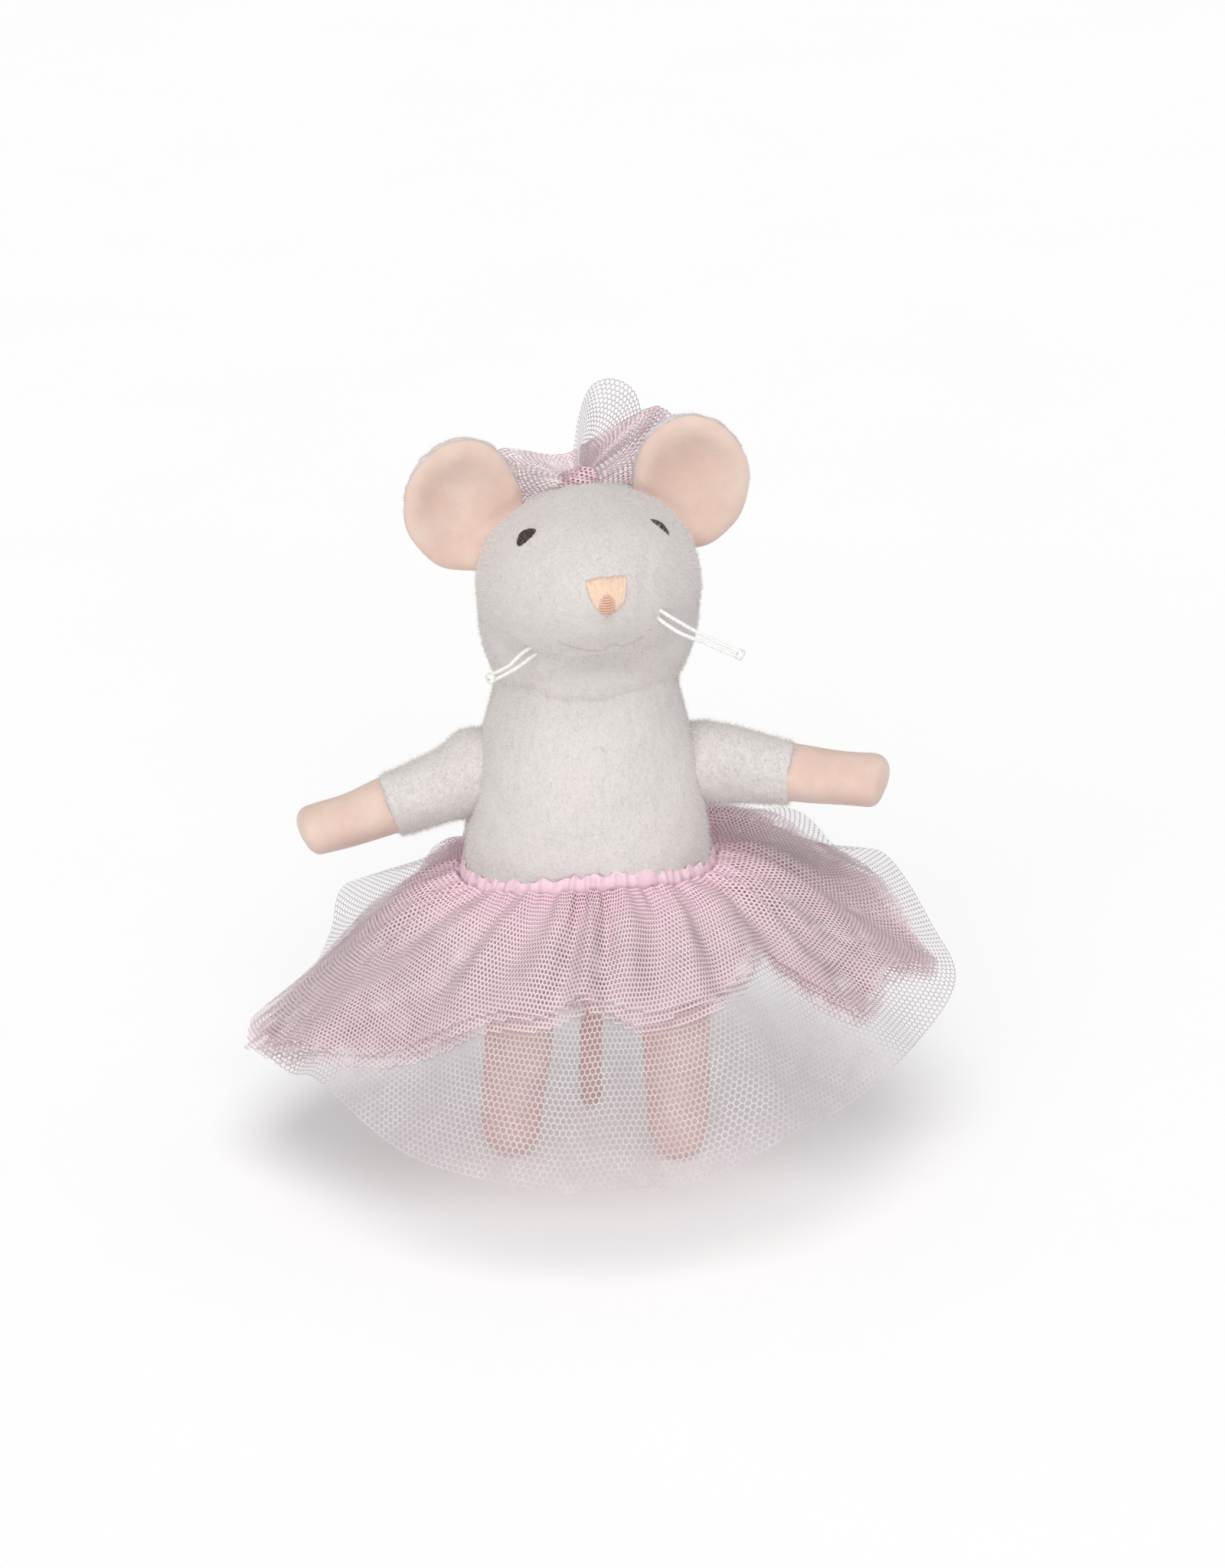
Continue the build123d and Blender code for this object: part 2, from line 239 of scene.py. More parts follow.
def set_points(piece, points):
    """Move the vertices to these places in millimetres."""
    piece.data.vertices.foreach_set("co", (points * MM).astype(np.float32).ravel())
    piece.data.update()


def lumps(points, size, seed=0):
    """Smooth noise, mostly from -1 to 1, at each point; size is about the lumps' width in millimetres."""
    dice = np.random.default_rng(seed)
    waves = unit(dice.normal(size=(14, 3))) * (np.pi / size) * dice.uniform(0.6, 1.6, (14, 1))
    return np.sin(points @ waves.T + dice.uniform(0, 2 * np.pi, 14)).sum(axis=1) / 4


def roughen(piece, *layers):
    """Push a mesh in and out along its normals by smooth noise; each layer is (depth, size, seed)."""
    places = points_of(piece)
    push = sum(depth * lumps(places, size, seed) for depth, size, seed in layers)
    set_points(piece, places + normals_of(piece) * push[:, None])


def bump_near(distance, width):
    """1 at distance 0, falling smoothly to 0 at about twice the width."""
    return np.exp(-((distance / width) ** 2))


def surface_of(piece):
    """A lookup of places on a finished mesh, for setting details on it."""
    graph = bpy.context.evaluated_depsgraph_get()
    return BVHTree.FromObject(piece, graph)


def on_surface(tree, point):
    """Nearest place on the surface, in millimetres."""
    place, _, _, _ = tree.find_nearest(Vector(point) * MM)
    return np.array(place) / MM


def dress(piece, body, slot, *nodes):
    """A finished piece follows a body and stands for CAD nodes; slot is not used."""
    if nodes:
        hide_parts(*nodes)
    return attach(piece, body)


def own_bake_map(piece, u, v):
    """A UV map from one (u, v) per vertex, named OFBake, because an automatic unwrap of tens of thousands of
    fibres or net cells never ends."""
    layer = piece.data.uv_layers.new(name="OFBake")
    corners = np.empty(len(piece.data.loops), np.int32)
    piece.data.loops.foreach_get("vertex_index", corners)
    pairs = np.stack([np.clip(u, 0, 1)[corners], np.clip(v, 0, 1)[corners]], axis=1)
    layer.data.foreach_set("uv", pairs.astype(np.float32).ravel())


# --- Materials -----------------------------------------------------------------------------------


class Paint:
    """A node material being built, with short ways to add the nodes that fabrics need."""

    def __init__(self, name, roughness=0.9, sheen=0.3):
        self.material = bpy.data.materials.new(name)
        self.material.use_nodes = True
        self.nodes = self.material.node_tree.nodes
        self.links = self.material.node_tree.links
        self.surface = self.nodes["Principled BSDF"]
        self.surface.inputs["Roughness"].default_value = roughness
        self.surface.inputs["Specular IOR Level"].default_value = 0.25
        self.surface.inputs["Sheen Weight"].default_value = sheen
        self.surface.inputs["Sheen Roughness"].default_value = 0.45
        self.place = self.nodes.new("ShaderNodeTexCoord").outputs["Object"]

    def noise(self, per_mm, detail=3.0, rough=0.55):
        """A noise factor with that many lumps to the millimetre."""
        node = self.nodes.new("ShaderNodeTexNoise")
        node.inputs["Scale"].default_value = per_mm / MM
        node.inputs["Detail"].default_value = detail
        node.inputs["Roughness"].default_value = rough
        self.links.new(self.place, node.inputs["Vector"])
        return node.outputs["Fac"]

    def mix(self, factor, low, high):
        """A colour between two, by a factor socket; each may be a colour or a socket."""
        node = self.nodes.new("ShaderNodeMix")
        node.data_type = "RGBA"
        self.links.new(factor, node.inputs["Factor"])
        for name, value in (("A", low), ("B", high)):
            socket = next(s for s in node.inputs if s.name == name and s.type == "RGBA")
            if isinstance(value, tuple):
                socket.default_value = (*value, 1.0)
            else:
                self.links.new(value, socket)
        return next(s for s in node.outputs if s.type == "RGBA")

    def spread(self, value, low, high):
        """Stretch a factor so that low becomes 0 and high becomes 1."""
        node = self.nodes.new("ShaderNodeMapRange")
        node.inputs["From Min"].default_value = low
        node.inputs["From Max"].default_value = high
        self.links.new(value, node.inputs["Value"])
        return node.outputs["Result"]

    def math(self, operation, a, b):
        node = self.nodes.new("ShaderNodeMath")
        node.operation = operation
        for socket, value in zip(node.inputs, (a, b)):
            if isinstance(value, (int, float)):
                socket.default_value = value
            else:
                self.links.new(value, socket)
        return node.outputs["Value"]

    def colour(self, socket):
        self.links.new(socket, self.surface.inputs["Base Color"])

    def rough(self, socket):
        self.links.new(socket, self.surface.inputs["Roughness"])

    def bump(self, height, depth_mm, strength=1.0):
        node = self.nodes.new("ShaderNodeBump")
        node.inputs["Strength"].default_value = strength
        node.inputs["Distance"].default_value = depth_mm * MM
        self.links.new(height, node.inputs["Height"])
        self.links.new(node.outputs["Normal"], self.surface.inputs["Normal"])


def srgb(red, green, blue):
    """Linear colour from the usual 0 to 255 values."""
    values = np.array([red, green, blue]) / 255
    linear = np.where(values <= 0.04045, values / 12.92, ((values + 0.055) / 1.055) ** 2.4)
    return tuple(float(x) for x in linear)


def towelling():
    """White brushed towelling: soft clumps of loops, painted a little grey in the hollows of their bump, as
    shade.
    """
    paint = Paint("white_towelling", roughness=0.95, sheen=0.25)
    clumps = paint.noise(1.1, detail=5.0, rough=0.65)
    loops = paint.noise(4.0, detail=2.0)
    shade = paint.noise(0.09, detail=2.0)
    # Painted shade: the colour is darker where the clumps' noise, and so their bump, is low.
    base = paint.mix(paint.spread(clumps, 0.3, 0.7), srgb(214, 210, 207), srgb(224, 220, 217))
    paint.colour(paint.mix(paint.spread(shade, 0.35, 0.75), base, srgb(221, 214, 212)))
    paint.rough(paint.spread(loops, -2.0, 1.2))
    paint.bump(paint.math("ADD", clumps, paint.math("MULTIPLY", loops, 0.6)), 0.35, 0.7)
    return paint.material


def pile():
    """The loose fibres that stand off the towelling."""
    paint = Paint("white_pile", roughness=0.9, sheen=0.2)
    strands = paint.noise(0.7, detail=4.0)
    paint.colour(paint.mix(paint.spread(strands, 0.3, 0.7), srgb(217, 213, 210), srgb(227, 223, 220)))
    paint.rough(paint.spread(strands, -3.0, 1.5))
    return paint.material


def velour(name, hollow_shade, plain):
    """Short dense velour whose tone changes in soft patches, as where its nap is brushed another way; the
    same patches make its bump, and its colour is painted darker in their hollows, as shade.
    """
    paint = Paint(name, roughness=0.85, sheen=0.5)
    nap = paint.noise(0.16, detail=3.0)
    ends = paint.noise(5.0, detail=2.0)
    # Painted shade: the colour is darker where the nap noise is low, in the hollows of the bump made from
    # it.
    paint.colour(paint.mix(paint.spread(nap, 0.35, 0.65), hollow_shade, plain))
    paint.rough(paint.spread(ends, -2.5, 1.1))
    paint.bump(paint.math("ADD", ends, nap), 0.12, 0.5)
    return paint.material


def thread(name, dark, light, per_mm=1.6, roughness=0.55):
    """Smooth embroidery or sewing thread, with fine fibres along it."""
    paint = Paint(name, roughness=roughness, sheen=0.2)
    fibres = paint.noise(per_mm, detail=4.0)
    paint.colour(paint.mix(paint.spread(fibres, 0.3, 0.7), dark, light))
    paint.rough(paint.spread(fibres, -1.5, 1.6))
    paint.bump(fibres, 0.06, 0.5)
    return paint.material


def net_thread(name, dark, light, waist):
    """Fine nylon net thread, pinker where the cloth is drawn in at the waist; there it is also painted
    lighter, as painted light that offsets the shade among the tight gathers.
    """
    paint = Paint(name, roughness=0.5, sheen=0.15)
    fibres = paint.noise(0.3, detail=4.0)
    flat = paint.nodes.new("ShaderNodeVectorMath")
    flat.operation = "MULTIPLY_ADD"
    flat.inputs[1].default_value = (1.0, 1.0, 0.0)
    flat.inputs[2].default_value = -AXIS * MM
    paint.links.new(paint.place, flat.inputs[0])
    length = paint.nodes.new("ShaderNodeVectorMath")
    length.operation = "LENGTH"
    paint.links.new(flat.outputs["Vector"], length.inputs[0])
    past_lit_waist = paint.spread(length.outputs["Value"], 21 * MM, 31 * MM)
    tone = paint.mix(paint.spread(fibres, 0.3, 0.7), dark, light)
    # Painted light: towards the waist the colour turns to the waist colour, which is pinker and also painted
    # lighter to offset the shade among the gathers.
    paint.colour(paint.mix(past_lit_waist, waist, tone))
    paint.rough(paint.spread(fibres, -1.5, 1.6))
    return paint.material


WHITE = towelling()
PILE = pile()
# Each velour's first colour is the painted shade of its hollows.
PEACH = velour("peach_velour", srgb(215, 186, 173), srgb(222, 199, 187))
PINK = velour("pink_velour", srgb(225, 189, 184), srgb(234, 201, 195))
DARK_THREAD = thread("dark_thread", srgb(38, 28, 27), srgb(74, 60, 57))
PEACH_THREAD = thread("peach_thread", srgb(228, 196, 172), srgb(240, 215, 194))
DEEP_PEACH_THREAD = thread("deep_peach_thread", srgb(212, 171, 151), srgb(222, 186, 167))
# The mouth's thread is painted grey, darker than the towelling, as the shade of the groove that it is sunk
# in.
SHADED_MOUTH_THREAD = thread("grey_thread", srgb(192, 184, 181), srgb(210, 203, 200))
CORD = thread("white_cord", srgb(222, 221, 219), srgb(245, 245, 243), roughness=0.45)
PINK_THREAD = thread("pink_thread", srgb(228, 178, 202), srgb(238, 196, 216))
TAPE = thread("pink_tape", srgb(232, 200, 212), srgb(239, 210, 220), per_mm=1.1, roughness=0.85)
# The last colour is the waist's: pinker, and painted lighter, as painted light that offsets the shade of the
# gathers.
NET_PINK = net_thread("pink_net", srgb(219, 198, 204), srgb(229, 209, 214), srgb(243, 214, 224))
NET_BOW = thread("bow_net", srgb(226, 206, 210), srgb(236, 218, 222), per_mm=0.3, roughness=0.5)
BOW_BLUSH = thread("bow_blush", srgb(222, 190, 201), srgb(231, 201, 210), per_mm=0.3, roughness=0.6)
NET_PALE = thread("pale_net", srgb(194, 184, 188), srgb(210, 202, 205), per_mm=0.3, roughness=0.45)


# --- Loose fibres and net ------------------------------------------------------------------------


FIBRE_ROOT = 0.12          # how deep a fibre starts under the surface
FIBRE_HALF_WIDTH = 0.035


def pile_on(piece, name, per_mm2, length, lean, droop=0.0, where=None, material=PILE):
    """Loose fibres standing off a finished mesh: one thin triangle each, at random places. lean is how
    far they stray from upright, and where(places) tells which of them are kept."""
    dice = np.random.default_rng(SEED + len(name))
    shape = piece.data
    shape.calc_loop_triangles()
    triangles = np.empty(len(shape.loop_triangles) * 3, np.int32)
    shape.loop_triangles.foreach_get("vertices", triangles)
    triangles = triangles.reshape(-1, 3)
    places, normals = points_of(piece), normals_of(piece)
    corners = places[triangles]
    edges = corners[:, 1:] - corners[:, :1]
    sizes = np.linalg.norm(np.cross(edges[:, 0], edges[:, 1]), axis=1) / 2
    count = int(sizes.sum() * per_mm2 * (1.0))
    chosen = dice.choice(len(triangles), count, p=sizes / sizes.sum())
    share = dice.random((count, 2))
    share = np.where(share.sum(axis=1, keepdims=True) > 1, 1 - share, share)
    weights = np.column_stack([1 - share.sum(axis=1), share])[:, :, None]
    roots = (corners[chosen] * weights).sum(axis=1)
    out = unit((normals[triangles[chosen]] * weights).sum(axis=1))
    if where is not None:
        kept = where(roots)
        roots, out = roots[kept], out[kept]
    count = len(roots)
    direction = unit(out + lean * dice.normal(size=(count, 3)) - UP * droop)
    flat = unit(np.cross(direction, dice.normal(size=(count, 3))))
    tall = length * dice.uniform(0.4, 1.0, (count, 1))
    roots = roots - out * FIBRE_ROOT
    tips = roots + direction * (tall + FIBRE_ROOT)
    half = flat * FIBRE_HALF_WIDTH
    corners = np.stack([roots - half, roots + half, tips], axis=1)
    fibres = make_mesh(name, corners.reshape(-1, 3), np.arange(count * 3).reshape(-1, 3), material)
    number = np.repeat(np.arange(count), 3)
    own_bake_map(fibres, (number % 256 + np.tile([0.1, 0.9, 0.5], count)) / 256, number / count)
    return fibres


# The six corners of a net cell, as directions from its middle.
CELL_CORNERS = np.radians([30, 90, 150, 210, 270, 330])


def net(name, pitch, thread_width, length_u, length_v, place, kept, material, closed=False):
    """Hexagonal net as real threads. place(u, v) gives the 3-D places of points of the flat cloth, and
    kept(u, v) tells which cells are there; u and v are in millimetres, and closed joins the ends of u."""
    columns = int(round(length_u / pitch))
    rows = int(length_v / (pitch * np.sin(np.pi / 3))) + 2
    pitch_u = length_u / columns
    row, column = np.meshgrid(np.arange(rows), np.arange(columns), indexing="ij")
    odd = row % 2
    middle_u = (column + 0.5 * odd) * pitch_u
    middle_v = row * pitch * np.sin(np.pi / 3)
    there = kept(middle_u, middle_v)
    flat = there.ravel()
    hole = pitch / np.sqrt(3) * (1 - thread_width / pitch)
    corner_u = middle_u[..., None] + hole * np.cos(CELL_CORNERS)
    corner_v = middle_v[..., None] + hole * np.sin(CELL_CORNERS)
    number = row * columns + column

    def neighbour(across, up):
        """Number of the next cell that way, and whether the thread to it is there."""
        to_column = column + across
        to_row = row + up
        inside = to_row < rows
        if not closed:
            inside = inside & (to_column >= 0) & (to_column < columns)
        return np.where(inside, to_row * columns + to_column % columns, 0), inside

    right, has_right = neighbour(1, 0)
    up_right, has_up_right = neighbour(odd, 1)
    up_left, has_up_left = neighbour(odd - 1, 1)
    faces = []

    def add(mask, *corners):
        """One polygon per cell, cut into triangles; each corner is (cell number, corner index)."""
        polygon = np.stack([cell[mask] * 6 + index for cell, index in corners], axis=-1)
        for last in range(2, polygon.shape[1]):
            faces.append(polygon[:, [0, last - 1, last]])

    either = has_right & (there | flat[right])
    add(either, (number, 5), (right, 3), (right, 2), (number, 0))
    either = has_up_right & (there | flat[up_right])
    add(either, (number, 0), (up_right, 4), (up_right, 3), (number, 1))
    either = has_up_left & (there | flat[up_left])
    add(either, (number, 1), (up_left, 5), (up_left, 4), (number, 2))
    either = has_right & has_up_right & (there | flat[right] | flat[up_right])
    add(either, (number, 0), (right, 2), (up_right, 4))
    either = has_up_right & has_up_left & (there | flat[up_right] | flat[up_left])
    add(either, (number, 1), (up_right, 3), (up_left, 5))

    faces = np.concatenate(faces)
    used, faces = np.unique(faces, return_inverse=True)
    u, v = corner_u.ravel()[used], corner_v.ravel()[used]
    piece = make_mesh(name, place(u, v), faces.reshape(-1, 3), material)
    own_bake_map(piece, u / length_u, v / length_v)
    return piece


# --- Head ----------------------------------------------------------------------------------------

EYE_LENGTH = 3.6
EYE_HEIGHT = {"left": 0.55, "right": 1.1}
EYE_SLOPE = {"left": 46.0, "right": 36.0}
# How far each eye is from the middle of its CAD solid, across and up the face.
EYE_SHIFT = {"left": (0.4, -1.75), "right": (0.5, -0.9)}
MOUTH_WIDTH = 13.6
MOUTH_LOW = -9.4           # height of the smile's lowest point, from the head's centre
# Fullness of the head under the cheeks, down to the neck seam: height and half width.
JOWLS = ((77.5, 13.1), (80.0, 14.4), (84.0, 15.6), (88.0, 16.2), (92.0, 16.2), (96.0, 14.0))


def head_point(x, z, forward=0.0):
    """A point in the snout's own axes, in millimetres from the head's centre."""
    return head_centre + head_across * x + snout_up * z + snout_along * forward


def face_hit(tree, x, z):
    """Where a straight line from in front of the face, along the snout, meets the head."""
    start = Vector(head_point(x, z, 60.0)) * MM
    place, normal, _, _ = tree.ray_cast(start, Vector(-snout_along))
    return np.array(place) / MM, np.array(normal)


def make_head():
    """Stuffed towelling head: an egg on its side with a pointed snout, full cheeks and a chin."""
    sides, rings = 128, 96
    turn = np.linspace(-1, 1, rings)
    back = turn < 0
    along = np.where(back, SKULL_LENGTH * np.sin(turn * np.pi / 2), SNOUT_LENGTH * np.abs(turn) ** 0.9)
    share = np.where(back, np.cos(turn * np.pi / 2), (1 - np.abs(turn * 0.999) ** 1.62) ** 0.65)
    angles = np.arange(sides) * 2 * np.pi / sides
    x = HEAD_HALF_WIDTH * share[:, None] * np.cos(angles)
    z = HEAD_HALF_HEIGHT * share[:, None] * np.sin(angles)
    points = head_centre + x[..., None] * head_across + z[..., None] * snout_up
    points = points + along[:, None, None] * snout_along
    egg = make_mesh("head", points.reshape(-1, 3), grid_faces(rings, sides, True), WHITE)
    close_ends(egg)
    heights = np.linspace(neck_place[2] + 0.5, head_centre[2] + 2, 24)
    jowl_radii = np.interp(heights, *np.array(JOWLS).T)
    line = AXIS + np.outer(heights, UP) - FRONT * 0.6
    jowls = tube("jowls", line, jowl_radii, WHITE, sides=96, across=head_across, squeeze=0.97)
    head = fused(join([egg, jowls], "head"), 0.45, 14)
    places, normals = points_of(head), normals_of(head)
    local = places - head_centre
    side, high, ahead = local @ head_across, local @ snout_up, local @ snout_along
    cheeks = bump_near(np.abs(side) - 11.0, 6.0) * bump_near(high + 6.0, 6.0) * bump_near(ahead - 4.0, 9.0)
    under_lip = bump_near(high + 8.6 + 0.02 * side**2, 1.5) * (ahead > 6) * bump_near(side, 8.0)
    soft = lumps(places, 9.0, 1) * 0.22 + lumps(places, 3.0, 2) * 0.06
    dart = bump_near(side - 7.5 - 0.25 * (high - 4.0), 0.8) * (ahead > 6) * bump_near(high - 1.0, 7.0)
    chin = bump_near(high + 12.4 + 0.015 * side**2, 1.7) * (ahead > 1) * bump_near(side, 10.0)
    push = 0.5 * cheeks - 0.7 * under_lip - 1.6 * chin + soft - 0.12 * dart
    set_points(head, places + normals * push[:, None])
    return dress(head, "head", "white_towelling", "head_cover", "head_stuffing")


def satin(name, tree, lines, radius, material, lift=0.12):
    """Parallel stitches lying on the face: each line is a row of (x, z) in the snout's axes."""
    pieces = []
    for index, line in enumerate(lines):
        hits = [face_hit(tree, x, z) for x, z in line]
        ends = np.sin(np.linspace(0.0, np.pi, len(line))) ** 0.4
        path = [place + normal * (lift * end - 0.15 * (1 - end)) for (place, normal), end in zip(hits, ends)]
        pieces.append(tube(f"{name}_{index}", path, np.full(len(path), radius), material, sides=8))
    return join(pieces, name)


def make_eye(side, tree):
    """A slanted almond of satin stitches, long across the eye."""
    sign = SIDES[side]
    local = node_centre(f"eye_{side}") - head_centre
    middle_x, middle_z = np.array([local @ head_across, local @ snout_up]) + EYE_SHIFT[side]
    slope = np.radians(EYE_SLOPE[side])
    along = np.array([-np.cos(slope) * sign, np.sin(slope)])
    over = np.array([np.sin(slope) * sign, np.cos(slope)])
    lines = []
    for row in np.linspace(-0.92, 0.92, 9):
        half = EYE_LENGTH / 2 * np.sqrt(1 - row**2) + 0.1
        steps = np.linspace(-half, half, 9)
        bow = 0.25 * (1 - (steps / EYE_LENGTH * 2) ** 2)
        centre = np.array([middle_x, middle_z]) + over * row * EYE_HEIGHT[side] / 2
        lines.append([centre + along * step + over * arch for step, arch in zip(steps, bow)])
    eye = satin(f"eye_{side}", tree, lines, 0.14, DARK_THREAD, lift=0.1)
    dress(eye, "head", "dark_thread", f"eye_{side}")


def make_nose(tree):
    """Embroidered nose: upright stitches with a flat top, drawn together below, over a round pad."""
    width_top, width_low, height = 5.8, 3.2, 5.6
    across, down = 0.4, -0.8
    dice = np.random.default_rng(SEED)
    lines = []
    for share in np.linspace(-1, 1, 17):
        top = height / 2 - 0.25 * share**2 + dice.normal() * 0.08
        low = -height / 2 + 1.1 * share**2 + dice.normal() * 0.12
        steps = np.linspace(top, low, 10)
        width = np.interp(steps, [-height / 2, height / 2], [width_low / 2, width_top / 2])
        lines.append([(across + share * half, down + z) for half, z in zip(width, steps)])
    pad = satin("pad", tree, lines, 0.22, PEACH_THREAD, lift=0.28)
    lines = []
    for row in np.linspace(-1, 1, 8):
        half = 1.45 * np.sqrt(1 - 0.8 * row**2)
        middle = down - 1.25 + row * 1.3
        steps = np.linspace(-1, 1, 9)
        lines.append([(across - 0.3 + step * half, middle + 0.25 * step**2) for step in steps])
    tip = satin("tip", tree, lines, 0.2, DEEP_PEACH_THREAD, lift=0.5)
    dress(join([pad, tip], "nose"), "head", "peach_thread", "nose")


def make_mouth(tree):
    """A faint stitched smile, half sunk in the towelling; its thread is painted grey, as the shade of the
    groove that it lies in.
    """
    across = np.linspace(-MOUTH_WIDTH / 2, MOUTH_WIDTH / 2, 61)
    rise = 2.3 * (np.abs(across) / (MOUTH_WIDTH / 2)) ** 2.2 + 0.8 * bump_near(across - 1.0, 0.9)
    hits = [face_hit(tree, x, MOUTH_LOW + z) for x, z in zip(across, rise)]
    depth = -0.02 - 0.12 * np.sin(across * 2.4) ** 2 - 0.1 * bump_near(across - 1.0, 0.5)
    path = [place + normal * deep for (place, normal), deep in zip(hits, depth)]
    mouth = tube("mouth", path, np.full(len(path), 0.24), SHADED_MOUTH_THREAD, sides=8)
    dress(mouth, "head", "grey_thread", "mouth")


def node_far_end(node, sign):
    """The lowest outer front corner of a node's box, just inside it: where the whiskers' knot is."""
    low, high = node_box(node)
    return np.array([high[0] if sign > 0 else low[0], low[1], low[2]]) + np.array([-0.9 * sign, 0.9, 0.9])


def make_whiskers(side, root, knot):
    """A doubled twisted cord that comes out of the cheek and ends in a knot."""
    along = unit(knot - root)
    root = root - along * 1.5
    apart = unit(np.cross(along, FRONT))
    pieces = []
    steps = np.linspace(0, 1, 60)
    for strand in (-1, 1):
        opening = 0.45 + 0.5 * np.sin(np.pi * np.minimum(steps / 0.6, 1.0)) * (strand > 0)
        sag = -0.5 * np.sin(np.pi * steps)
        line = root + np.outer(steps, knot - root) + np.outer(strand * opening, apart) + np.outer(sag, UP)
        for ply in (0, np.pi):
            turns = 14 * 2 * np.pi * steps + ply
            other = np.cross(along, apart)
            helix = 0.13 * (np.cos(turns)[:, None] * apart + np.sin(turns)[:, None] * other)
            pieces.append(tube("ply", line + helix, np.full(len(steps), 0.21), CORD, sides=8))
    turns = np.linspace(0, 2 * np.pi, 32)
    for tilt in (-0.5, 0.5):
        ring = unit(apart + along * tilt)
        across = np.cross(ring, along)
        loop = knot + 0.55 * (np.cos(turns)[:, None] * unit(across) + np.sin(turns)[:, None] * ring)
        pieces.append(tube("turn", loop, np.full(len(turns), 0.36), CORD, sides=10))
    dress(join(pieces, f"whiskers_{side}"), "head", "white_cord", f"whiskers_{side}")


# --- Ears ----------------------------------------------------------------------------------------

# How far each soft ear hangs below its place in the CAD.
EAR_SAG = {"left": 1.9, "right": 1.5}
EAR_HALF_WIDTH = 9.3
EAR_HALF_HEIGHT = 10.5


def ear_layer(name, side, depth, size, thickness, material):
    """One cupped cloth of an ear. depth(share of the radius, across, up) is how far back each place is,
    and size is the cloth's size as a share of the ear's."""
    rings, sides = 28, 96
    share = np.linspace(0.0, 1.0, rings)[:, None]
    turn = (np.arange(sides) * 2 * np.pi / sides)[None, :]
    across = np.cos(turn) * share
    rise = np.sin(turn) * share
    pinch = 1 - 0.16 * np.clip(-across - 0.2, 0, 1) - 0.05 * np.clip(-rise, 0, 1)
    back = np.broadcast_to(depth(share, across, rise), across.shape)
    points = ear_centre(side) - head_up * EAR_SAG[side] + back[..., None] * head_back
    points = points + (across * EAR_HALF_WIDTH * size * pinch)[..., None] * head_across * SIDES[side]
    points = points + (rise * EAR_HALF_HEIGHT * size * pinch)[..., None] * head_up
    layer = make_mesh(name, points.reshape(-1, 3), grid_faces(rings, sides, True), material)
    weld(layer)
    thicken = ("SOLIDIFY", {"thickness": thickness * MM, "offset": 0.0})
    return baked(layer, thicken, ("SUBSURF", {"levels": 1}))


def make_ear(side):
    """Peach velour lining, cupped, on a rough towelling back."""
    body = f"ear_{side}"

    def lining_depth(share, across, rise):
        pit = bump_near(np.hypot(across - 0.1, 0.85 * (rise - 0.12)), 0.55)
        crease = bump_near(rise + 0.5 + 0.55 * across, 0.14) * np.clip(-across + 0.3, 0, 1)
        roll = 0.5 * bump_near(share - 0.8, 0.2)
        edge = 7.0 * np.clip(share - 0.87, 0, 1) ** 1.5
        return 1.9 * pit + 0.4 * crease - roll + edge

    def back_depth(share, across, rise):
        return 2.9 - 1.8 * share**2.4

    lining = ear_layer(f"ear_lining_{side}", side, lining_depth, 1.0, 0.8, PEACH)
    roughen(lining, (0.2, 5.0, 3))
    back = ear_layer(f"ear_back_{side}", side, back_depth, 0.99, 1.3, WHITE)
    roughen(back, (0.12, 1.2, 4))
    fibres = pile_on(back, f"ear_pile_{side}", 14, 0.8, lean=0.7)
    dress(lining, body, "peach_velour", f"ear_lining_{side}")
    dress(back, body, "white_towelling", f"ear_back_{side}")
    dress(fibres, body, "white_towelling")


# --- Torso, arms, legs and tail ------------------------------------------------------------------

CUFF_AT = 13.0             # from the shoulder to the sleeve's end
ARM_LENGTH = 28.0


def make_torso():
    """Pear-shaped towelling body whose neck goes up into the head."""
    heights = np.array([31, 32.5, 36, 41, 47.5, 54, 60, 66, 71, 75, 79, 84, 87])
    radii = np.array([3.5, 8.5, 12.4, 15.8, 18.5, 18.5, 17.6, 16.4, 15.1, 14.0, 13.4, 12.6, 9.0])
    steps = np.linspace(heights[0], heights[-1], 60)
    line = AXIS + np.outer(steps, UP)
    torso = tube("torso", line, np.interp(steps, heights, radii), WHITE, sides=96, across=head_across)
    torso = fused(torso, 0.5, 10)
    places, normals = points_of(torso), normals_of(torso)
    angle = np.arctan2(places[:, 0] - AXIS[0], AXIS[1] - places[:, 1])
    ribs = np.cos(angle * 46) * bump_near(places[:, 2] - 75.0, 6.0)
    soft = 0.3 * lumps(places, 11.0, 5) + 0.07 * lumps(places, 3.0, 6)
    set_points(torso, places + normals * (soft + 0.03 * ribs)[:, None])
    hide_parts("torso_cover", "torso_stuffing")
    return torso


